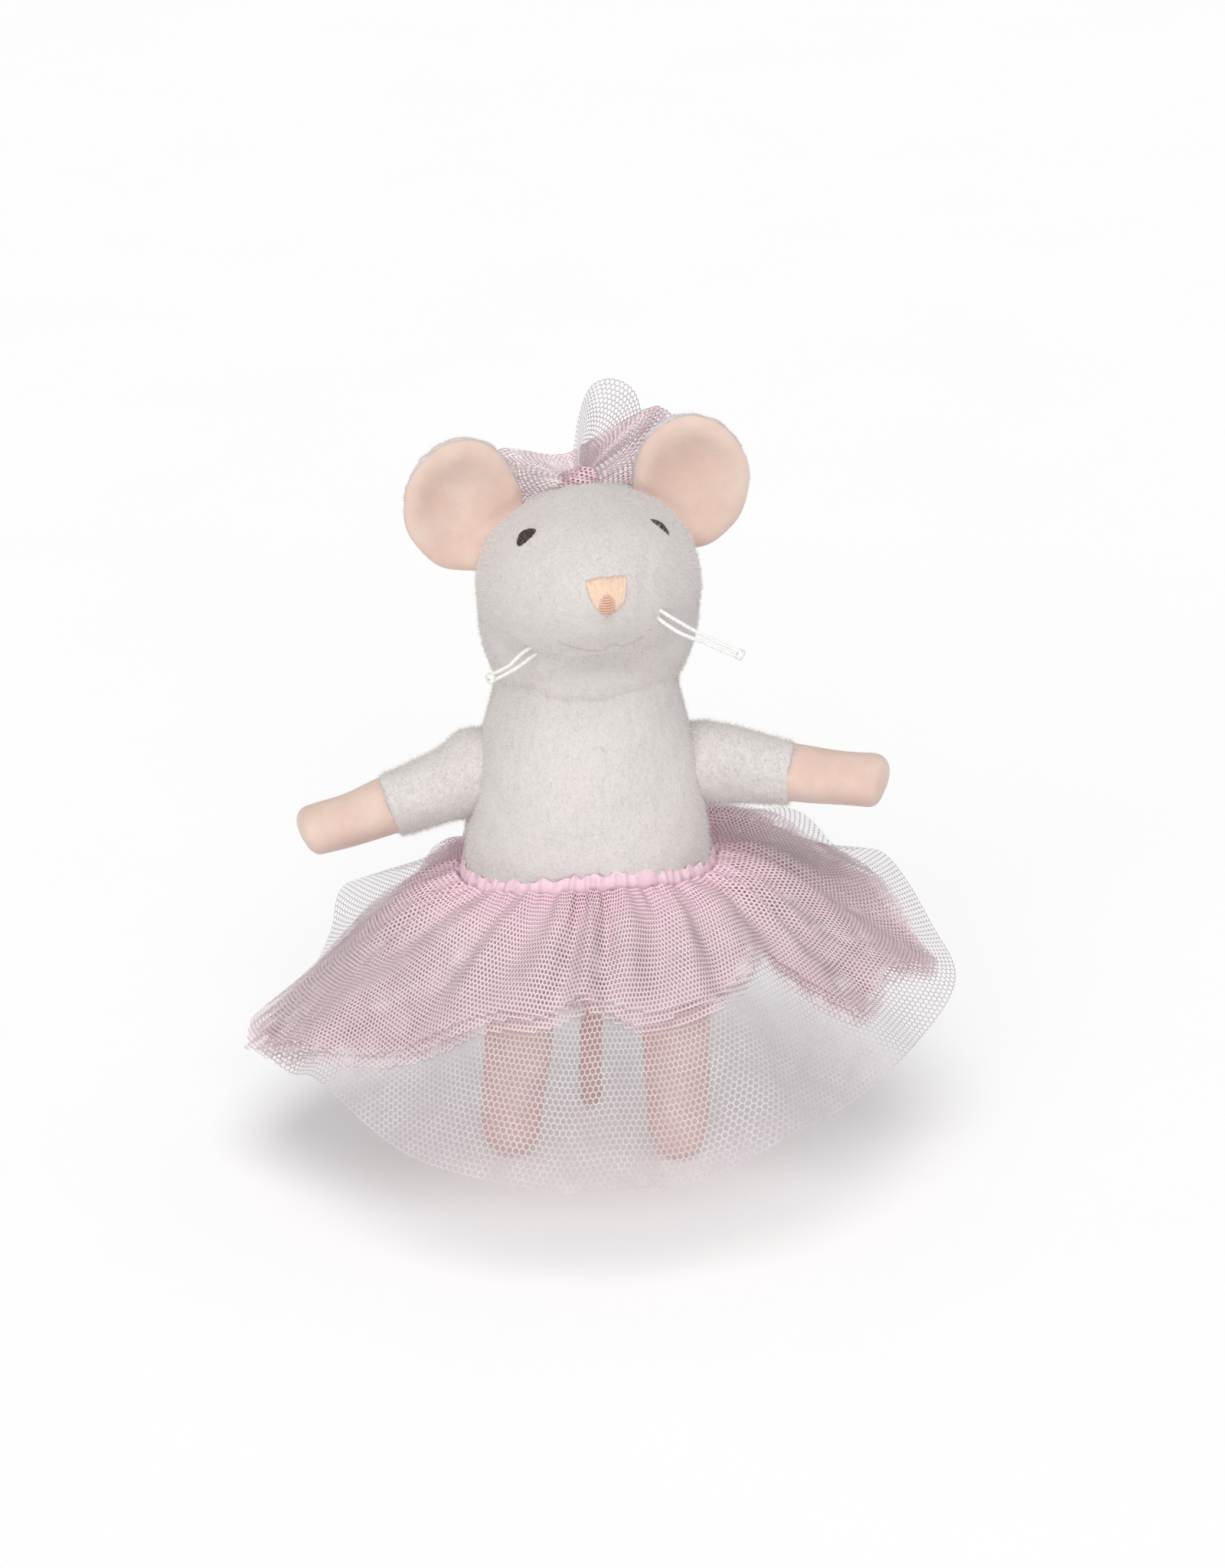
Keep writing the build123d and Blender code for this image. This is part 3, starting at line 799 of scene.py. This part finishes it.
def make_arm(side):
    """Towelling sleeve rooted inside the torso, and a velour paw with a blunt end."""
    shoulder, _ = joint(f"arm_{side}_swing")
    along = unit(node_centre(f"paw_{side}") - shoulder)
    steps = np.linspace(-6.0, CUFF_AT + 0.6, 40)
    radii = np.interp(steps, [-6, 0, 5, CUFF_AT - 1, CUFF_AT + 0.6], [5.0, 6.3, 5.6, 4.95, 4.8])
    sleeve = tube(f"sleeve_{side}", shoulder + steps[:, None] * along, radii, WHITE, sides=64)
    sleeve = fused(sleeve, 0.4, 6)
    roughen(sleeve, (0.28, 6.0, 8), (0.05, 1.8, 9))
    steps = np.linspace(CUFF_AT - 2.0, ARM_LENGTH, 60)
    end = np.clip((ARM_LENGTH - steps) / 2.6, 0, 1)
    round_end = np.sqrt(1 - (1 - end) ** 2.6)
    radii = np.interp(steps, [CUFF_AT, ARM_LENGTH], [4.45, 3.95]) * np.maximum(round_end, 0.05)
    paw = tube(f"paw_{side}", shoulder + steps[:, None] * along, radii, PEACH, sides=64, squeeze=0.96)
    paw = fused(paw, 0.35, 4)
    roughen(paw, (0.25, 6.0, 10))
    fibres = pile_on(sleeve, f"sleeve_pile_{side}", 20, 1.0, lean=0.7, droop=0.3)
    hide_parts(f"sleeve_{side}", f"arm_stuffing_{side}")
    for piece in (sleeve, fibres):
        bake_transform(piece)
    dress(paw, f"arm_{side}", "peach_velour", f"paw_{side}")


def make_leg(side):
    """Short towelling thigh under the body and a velour leg with a rounded end to stand on."""
    hip, _ = joint(f"leg_{side}_swing")
    low, high = node_box(f"foot_{side}")
    foot = np.array([(low[0] + high[0]) / 2, (low[1] + high[1]) / 2, low[2]])
    along = unit(foot + UP * 5.0 - hip)
    length = np.linalg.norm(foot - hip)
    steps = np.linspace(-4.0, 9.0, 30)
    radii = np.interp(steps, [-4, 0, 9], [4.6, 5.5, 5.2])
    thigh = tube(f"thigh_{side}", hip + steps[:, None] * along, radii, WHITE)
    thigh = fused(thigh, 0.45, 4)
    steps = np.linspace(8.0, length, 70)
    end = np.clip((length - steps) / 5.6, 0, 1)
    round_end = np.sqrt(1 - (1 - end) ** 2.3)
    radii = np.interp(steps, [8, 16, length - 6], [5.2, 5.3, 4.6]) * np.maximum(round_end, 0.05)
    leg = tube(f"foot_{side}", hip + steps[:, None] * along, radii, PINK, sides=64)
    leg = fused(leg, 0.4, 4)
    roughen(leg, (0.25, 6.0, 12))
    places = points_of(leg)
    places[:, 2] = np.maximum(places[:, 2], 0.0)
    set_points(leg, places)
    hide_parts(f"thigh_{side}", f"leg_stuffing_{side}")
    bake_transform(thigh)
    dress(leg, f"leg_{side}", "pink_velour", f"foot_{side}")


def make_tail():
    """A soft velour cord that hangs behind."""
    root, _ = joint("tail_lift")
    low, high = node_box("tail")
    tip = np.array([(low[0] + high[0]) / 2, high[1] - 2.0, low[2]])
    steps = np.linspace(0, 1, 50)
    sway = np.outer(np.sin(np.pi * 2 * steps), (0.25, 0.3, 0.0))
    line = root + (tip - root) * steps[:, None] + sway
    end = np.clip((1 - steps) * 34 / 1.9, 0, 1)
    radii = 1.7 * np.maximum(np.sqrt(1 - (1 - end) ** 2), 0.05)
    tail = fused(tube("tail", line, radii, PINK), 0.3, 2)
    roughen(tail, (0.15, 2.5, 13))
    dress(tail, "tail", "pink_velour", "tail")


# --- Skirt ---------------------------------------------------------------------------------------

LONG_NET = (1.12, 0.25)    # pitch and thread width of the pale net
SHORT_NET = (0.95, 0.28)   # the same for the dense layers
BASE_NET = (0.95, 0.38)    # the same for the dense layer that shades the others from below
BAND_RADIUS = 18.7
BAND_TOP = 52.6
BAND_STITCH = 49.6         # height of the gathering stitches
CLOTH_AROUND = 360.0       # flat length of the gathered cloth, round the waist
CLOTH_LONG = 50.0          # flat length of the longest net, from the waist to its rim
FLARE = 0.93               # under 1, the cloth spreads faster near the waist
WAIST_FOLDS = 66           # fine folds that the gathering makes all round
# The long net's rim: degrees from the front towards the own left, radius and height in millimetres.
RIM = (
    (-180, 53.0, 32.0), (-155, 52.5, 28.5), (-137, 54.0, 28.0), (-124, 49.0, 25.5), (-105, 46.0, 21.0),
    (-87, 50.5, 19.8), (-70, 50.0, 22.5), (-54, 48.5, 24.0), (-28, 51.0, 19.2), (0, 52.0, 17.6),
    (20, 52.0, 19.0), (45, 52.0, 23.8), (70, 52.5, 26.4), (90, 55.5, 29.0), (108, 54.0, 33.5),
    (130, 54.5, 36.0), (160, 53.5, 36.0),
)
# The dense layers' hem: degrees, and radius in millimetres.
HEM = (
    (-180, 36.0), (-165, 28.0), (-150, 24.5), (-128, 26.0), (-112, 34.5), (-97, 47.5), (-82, 51.0),
    (-68, 49.5), (-57, 47.0), (-40, 42.0), (-24, 37.0), (-12, 36.0), (0, 33.5), (12, 36.2),
    (28, 36.4), (40, 34.6), (51, 33.5), (57, 42.0), (62, 46.5), (70, 46.0), (78, 46.0), (88, 52.5),
    (104, 46.5), (130, 42.0), (155, 41.0),
)


def around(points, angle, column):
    """Smooth value at each angle in radians, round a closed list of (degrees, values...)."""
    degrees = np.array([p[0] for p in points], float)
    values = np.array([p[column] for p in points], float)
    degrees = np.concatenate([degrees - 360, degrees, degrees + 360])
    values = np.tile(values, 3)
    x = np.degrees((angle + np.pi) % (2 * np.pi) - np.pi)
    nearest = np.clip(np.searchsorted(degrees, x) - 1, 1, len(degrees) - 3)
    x0, x1 = degrees[nearest], degrees[nearest + 1]
    t = (x - x0) / (x1 - x0)
    y0, y1 = values[nearest], values[nearest + 1]
    slope0 = (y1 - values[nearest - 1]) / (x1 - degrees[nearest - 1]) * (x1 - x0)
    slope1 = (values[nearest + 2] - y0) / (degrees[nearest + 2] - x0) * (x1 - x0)
    return (
        (2 * t**3 - 3 * t**2 + 1) * y0 + (t**3 - 2 * t**2 + t) * slope0
        + (3 * t**2 - 2 * t**3) * y1 + (t**3 - t**2) * slope1
    )


def band_tilt(angle):
    """How much higher the waistband sits at an angle: it sags at both sides, more at the own right."""
    return 0.5 * np.cos(angle) + 1.1 * np.sin(angle) - 3.4 * np.sin(angle) ** 2


def skirt_place(angle, share, lift, puff, phase):
    """Places on one gathered layer: angle from the front, share of the way to the rim, height above
    the long net, how deep its folds are, and where its folds start."""
    radius, height = around(RIM, angle, 1), around(RIM, angle, 2)
    top = BAND_STITCH + 0.6 + band_tilt(angle)
    reach = np.clip(share, 0, 1.2)
    r = BAND_RADIUS + 0.4 + (radius - BAND_RADIUS - 0.4) * reach**FLARE
    z = top - (top - height) * reach ** (0.985 + 0.135 * np.cos(angle))
    steep = np.arctan2(top - height, radius - BAND_RADIUS)
    warp = angle + 0.05 * np.sin(5 * angle) + 0.03 * np.sin(11 * angle)
    apart = phase * np.clip(reach * 1.5, 0, 1)
    fine = 0.3 * bump_near(reach, 0.12) * np.sin(WAIST_FOLDS * warp)
    middle = bump_near(reach - 0.2, 0.24) * np.sin(24 * warp + 1.7 * apart)
    broad = 1.9 * reach**1.3 * np.sin(13 * warp + apart) * (0.6 + 0.4 * np.sin(3 * angle + phase))
    push = puff * (fine + middle + broad) + lift * np.clip(0.35 + reach * 5, 0, 1)
    r = r + push * np.sin(steep)
    z = z + push * np.cos(steep)
    return AXIS + np.stack([r * np.sin(angle), -r * np.cos(angle), z], axis=-1)


def skirt_layer(name, nodes, hem_share, lift, puff, phase, cloth):
    """One net layer, which stands for the CAD nodes; hem_share(angle) is how far down the long net it
    reaches, and cloth is its (pitch, thread width), material and record slot."""
    (pitch, width), material, slot = cloth

    def place(u, v):
        return skirt_place(2 * np.pi * u / CLOTH_AROUND, v / CLOTH_LONG, lift, puff, phase)

    def kept(u, v):
        return v / CLOTH_LONG <= hem_share(2 * np.pi * u / CLOTH_AROUND)

    layer = net(name, pitch, width, CLOTH_AROUND, CLOTH_LONG * 1.08, place, kept, material, closed=True)
    dress(layer, "tutu", slot, *nodes)


def make_skirt():
    """A long pale net under four short dense ones, all gathered at the waist."""

    def whole(angle):
        return np.ones_like(angle)

    def dense(trim, ragged):
        def hem(angle):
            full = around(RIM, angle, 1)
            radius = around(HEM, angle, 1) - trim + ragged * np.sin(9 * angle + ragged * 5)
            return ((radius - BAND_RADIUS) / (full - BAND_RADIUS)) ** (1 / FLARE)

        return hem

    pale = (LONG_NET, NET_PALE, "pale_net")
    pink = (SHORT_NET, NET_PINK, "pink_net")
    base = (BASE_NET, NET_PINK, "pink_net")
    skirt_layer("net_long", ["net_long"], whole, 0.0, 1.0, 0.0, pale)
    skirt_layer("net_short_1", ["net_short_1"], dense(0.0, 0.3), 0.6, 1.1, 0.7, pink)
    skirt_layer("net_short_2", ["net_short_2"], dense(2.5, 0.5), 1.2, 0.9, 1.3, base)
    skirt_layer("net_short_3", ["net_short_3"], dense(0.9, -0.5), 1.8, 1.1, 1.9, pink)
    skirt_layer("net_short_4", [], dense(1.6, 0.4), 2.4, 1.0, 2.6, pink)


def make_waistband():
    """Pink gathered header: a soft ring that lies on the torso above its stitches and opens into small
    pouches below them, with needle puckers along the stitches."""
    columns, rows, puckers = 1080, 36, 44
    angle, share = np.meshgrid(np.arange(columns) * 2 * np.pi / columns, np.linspace(0, 1, rows))
    low = BAND_STITCH - 2.4
    z = low + (BAND_TOP - low) * share
    above = np.clip((z - BAND_STITCH) / (BAND_TOP - BAND_STITCH), 0, 1)
    below = np.clip((BAND_STITCH - z) / (BAND_STITCH - low), 0, 1)
    warp = angle + 0.035 * np.sin(7 * angle) + 0.02 * np.sin(17 * angle + 1)
    pleats = np.sin(WAIST_FOLDS * warp) + 0.6 * np.sin(41 * warp + 1.3) + 0.6 * np.sin(23 * warp)
    turn = angle * puckers / (2 * np.pi) + 0.2 * np.sin(9 * angle)
    pucker = bump_near((turn % 1 - 0.5) * 2 * np.pi * BAND_RADIUS / puckers, 0.4)
    pucker = pucker * bump_near(z - BAND_STITCH, 0.9) * (0.6 + 0.4 * np.sin(np.floor(turn) * 2.3))
    drawn = bump_near(z - BAND_STITCH, 0.7)
    r = BAND_RADIUS + 0.45 + 0.16 * pleats * (1 - 0.7 * drawn) - 0.25 * drawn - 0.45 * pucker
    r = r + 0.2 * np.sin(np.pi * above) - 0.5 * above**2 + 1.9 * below**1.3
    edge = 0.3 * np.sin(29 * warp) + 0.2 * np.sin(53 * warp + 2)
    z = z + edge * share**3 + 0.4 * np.sin(3 * angle + 0.4) * share + band_tilt(angle)
    points = AXIS + np.stack([r * np.sin(angle), -r * np.cos(angle), z], axis=-1)
    band = make_mesh("waistband", points.reshape(-1, 3), grid_faces(rows, columns, True), TAPE)
    band = baked(band, ("SOLIDIFY", {"thickness": 0.3 * MM, "offset": -1.0}))
    fuzz = pile_on(band, "waistband_fuzz", 12, 0.55, lean=0.8, material=TAPE)
    dress(band, "tutu", "pink_tape", "waistband")
    dress(fuzz, "tutu", "pink_tape")


def make_gathering_thread():
    """Running stitches that dip in and out of the band's pleats."""
    steps = 9
    pieces = []
    for index in range(WAIST_FOLDS):
        middle = 2 * np.pi * (index + 0.15 * np.sin(index * 2.3)) / WAIST_FOLDS
        angle = middle + np.linspace(-0.026, 0.026, steps)
        arch = np.sin(np.linspace(0, np.pi, steps)) ** 0.5
        r = BAND_RADIUS + 0.2 * arch
        z = BAND_STITCH + band_tilt(angle) + 0.25 * np.sin(index * 1.9)
        path = AXIS + np.stack([r * np.sin(angle), -r * np.cos(angle), z], axis=-1)
        pieces.append(tube("stitch", path, np.full(steps, 0.2), PINK_THREAD, sides=8))
    dress(join(pieces, "gathering_thread"), "tutu", "pink_thread", "gathering_thread")


# --- Bow -----------------------------------------------------------------------------------------

BOW_PITCH = 0.95
BOW_THREAD = 0.24
BOW_BACK = 2.5             # how far the knot is behind the middle of the head
BOW_KNOT = np.array([0.0, 14.2])
BEND_LEFT = 9.0            # how far the loops bend back to pass behind the ears
BEND_RIGHT = 7.4


def smooth_line(t, stations, values):
    """A line through values at their stations, with its corners rounded."""
    near = np.interp(t, stations, values)
    return (np.interp(t - 0.06, stations, values) + np.interp(t + 0.06, stations, values) + 2 * near) / 4


def bow_point(x, z, forward):
    """Places on the bow: across, up and forward of the knot's upright plane. Both sides bend back and
    pass behind the ears, and lower the further back they are."""
    behind = np.where(x > 0, np.clip((x + 0.5) / 5.5, 0, 1), np.clip((-x - 3.0) / 5.0, 0, 1))
    bend = np.where(x > 0, BEND_LEFT, BEND_RIGHT) * (3 - 2 * behind) * behind**2
    shape = x[..., None] * head_across + (z - 0.4 * bend)[..., None] * head_up
    return head_centre + shape + (BOW_BACK + bend - forward)[..., None] * head_back


def bow_fan(name, outline, sheets, folds, puff, forward, material):
    """A fan of net gathered at the knot. outline gives (x, z) of its far edge from one side to the
    other; each sheet is (bulge, phase), the bulge being how far forward its middle swells."""
    lengths = np.linalg.norm(np.diff(outline, axis=0), axis=1)
    stations = np.concatenate([[0], np.cumsum(lengths)]) / lengths.sum()
    reach = np.linalg.norm(outline - BOW_KNOT, axis=1).max()
    wide = max(lengths.sum() * 1.1, 12.0)
    pieces = []
    for index, (bulge, phase) in enumerate(sheets):

        def place(u, v, bulge=bulge, phase=phase):
            across, out = np.clip(u / wide, 0, 1), np.clip(v / reach, 0, 1)
            far = np.stack([smooth_line(across, stations, outline[:, axis]) for axis in (0, 1)], axis=-1)
            spot = BOW_KNOT + (far - BOW_KNOT) * out[:, None] ** 0.9
            fold = np.sin(folds * 2 * np.pi * across + phase) * puff * np.sin(np.pi * out) ** 0.6
            tight = 0.5 * np.sin(11 * np.pi * across + phase) * np.exp(-((out / 0.35) ** 2))
            swell = bulge * np.sin(np.pi * out**1.3) * np.sin(np.pi * across) ** 0.5
            return bow_point(spot[:, 0], spot[:, 1], forward + fold + tight + swell)

        def kept(u, v):
            return v <= reach * 0.93

        pieces.append(net(f"{name}_{index}", BOW_PITCH, BOW_THREAD, wide, reach, place, kept, material))
    dress(join(pieces, name), "head", "pink_net", name)


def make_bow_knot():
    """The middle of the bow: a few turns of net rolled tight round an axis across the head."""
    centre = head_centre + head_across * 0.3 + head_up * 15.0 + head_back * BOW_BACK
    wide = 5.0
    pieces = []
    for turn, radius in enumerate((0.9, 1.25, 1.6)):
        girth = 2 * np.pi * radius * 1.6

        def place(u, v, radius=radius, turn=turn):
            angle = 2 * np.pi * u / girth
            across = np.clip(v / wide, 0, 1) * 2 - 1
            thick = radius * (1 - 0.35 * across**2 + 0.12 * np.sin(6 * angle + 5 * across + turn))
            shape = (across * wide / 2)[:, None] * head_across + (thick * np.sin(angle))[:, None] * head_up
            return centre + shape - (thick * np.cos(angle))[:, None] * head_back

        def kept(u, v):
            return v <= wide

        pieces.append(net(f"turn_{turn}", 0.8, 0.4, girth, wide, place, kept, BOW_BLUSH, closed=True))
    dress(join(pieces, "bow_knot"), "head", "pink_tape", "bow_knot")


def make_bow():
    """Net bow: a low loop to the own right, a dense one and a tall end to the own left, and a knot."""
    left = np.array([
        (3, 11.6), (11, 9.8), (16, 10), (18, 13.5), (18, 20), (16.2, 25), (14.5, 26.6), (6.5, 23), (0, 20),
    ])
    right = np.array([
        (1, 20), (-3.7, 19.2), (-6.5, 21), (-10, 22.3), (-12.2, 21.9), (-11.8, 17.5), (-9.5, 13),
        (-7, 11.6), (-3, 12),
    ])
    end = np.array([
        (-0.6, 18), (0.7, 23.5), (2.4, 27.5), (4.5, 30.4), (6.8, 31.4), (9.6, 30.6), (11.6, 28.3),
        (12.2, 24),
    ])
    left_sheets = [(1.0, 0.3), (-0.8, 2.0), (0.3, 4.0), (-1.4, 5.2)]
    right_sheets = [(1.4, 0.3), (-0.6, 2.0), (0.6, 4.0)]
    bow_fan("bow_loop_left", left, left_sheets, 3, 0.7, 0.6, NET_BOW)
    bow_fan("bow_loop_right", right, right_sheets, 2.5, 0.7, 0.6, NET_BOW)
    bow_fan("bow_end", end, [(0.6, 0.5)], 1.5, 0.5, -0.9, NET_PALE)
    make_bow_knot()


# --- Build it ------------------------------------------------------------------------------------

head = make_head()
face = surface_of(head)
for side in SIDES:
    make_eye(side, face)
make_nose(face)
make_mouth(face)
make_whiskers("left", on_surface(face, AXIS + (9.6, -16.0, 94.4)), node_far_end("whiskers_left", 1))
make_whiskers("right", on_surface(face, AXIS + (-8.4, -15.0, 86.5)), node_far_end("whiskers_right", -1))
dress(pile_on(head, "head_pile", 14, 0.75, lean=0.7, droop=0.2), "head", "white_towelling")
for side in SIDES:
    make_ear(side)
    make_arm(side)
    make_leg(side)
torso = make_torso()
torso_pile = pile_on(torso, "torso_pile", 12, 0.75, lean=0.7, droop=0.3, where=lambda p: p[:, 2] > 49)
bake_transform(torso)
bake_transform(torso_pile)
make_tail()
make_skirt()
make_waistband()
make_gathering_thread()
make_bow()


# --- Stage ---------------------------------------------------------------------------------------

CAMERA_AIM = Vector((AXIS + (3.67, 0.0, 60.4)) * MM)
CAMERA_UP_ANGLE = np.radians(22.0)
CAMERA_AWAY = 0.98         # metres
CAMERA_LENS = 150.0
FLOOR_GLOW = 0.11
WORLD_STRENGTH = 0.42


def make_floor():
    """Wide pale floor just under the feet, which glows a little, like a light table."""
    shape = bmesh.new()
    bmesh.ops.create_grid(shape, x_segments=8, y_segments=8, size=3.0)
    mesh = bpy.data.meshes.new("floor")
    shape.to_mesh(mesh)
    shape.free()
    floor = bpy.data.objects.new("floor", mesh)
    floor.location = (0, 0, -0.0001)
    bpy.context.scene.collection.objects.link(floor)
    paint = Paint("floor_paper", roughness=0.95, sheen=0.0)
    grain = paint.noise(0.02)
    paint.colour(paint.mix(grain, (0.95, 0.95, 0.95), (0.97, 0.97, 0.97)))
    paint.surface.inputs["Emission Color"].default_value = (1.0, 1.0, 1.0, 1.0)
    paint.surface.inputs["Emission Strength"].default_value = FLOOR_GLOW
    mesh.materials.append(paint.material)


def make_sun(name, towards, width, strength):
    """Even light from one side; the wider it is, in degrees, the softer its shadows."""
    light = bpy.data.lights.new(name, "SUN")
    light.energy = strength
    light.angle = np.radians(width)
    lamp = bpy.data.objects.new(name, light)
    lamp.rotation_mode = "QUATERNION"
    lamp.rotation_quaternion = (-Vector(towards)).to_track_quat("-Z", "Y")
    bpy.context.scene.collection.objects.link(lamp)


def make_camera():
    """A long lens that looks down on the toy from in front."""
    camera = bpy.data.objects.new("camera", bpy.data.cameras.new("camera"))
    camera.data.lens = CAMERA_LENS
    camera.data.sensor_width = 36.0
    back = Vector((0, -np.cos(CAMERA_UP_ANGLE), np.sin(CAMERA_UP_ANGLE)))
    camera.location = CAMERA_AIM + back * CAMERA_AWAY
    camera.rotation_mode = "QUATERNION"
    camera.rotation_quaternion = (-back).to_track_quat("-Z", "Y")
    bpy.context.scene.collection.objects.link(camera)
    bpy.context.scene.camera = camera


def make_world():
    """Even white light from all round."""
    world = bpy.data.worlds.new("studio")
    world.use_nodes = True
    world.node_tree.nodes["Background"].inputs["Color"].default_value = (1, 1, 1, 1)
    world.node_tree.nodes["Background"].inputs["Strength"].default_value = WORLD_STRENGTH
    bpy.context.scene.world = world
    bpy.context.scene.view_settings.view_transform = "Standard"


make_floor()
make_camera()
make_world()
make_sun("top", (0.0, -0.6, 1.0), 35.0, 1.45)
make_sun("key", (-0.15, -0.95, 0.35), 60.0, 0.95)
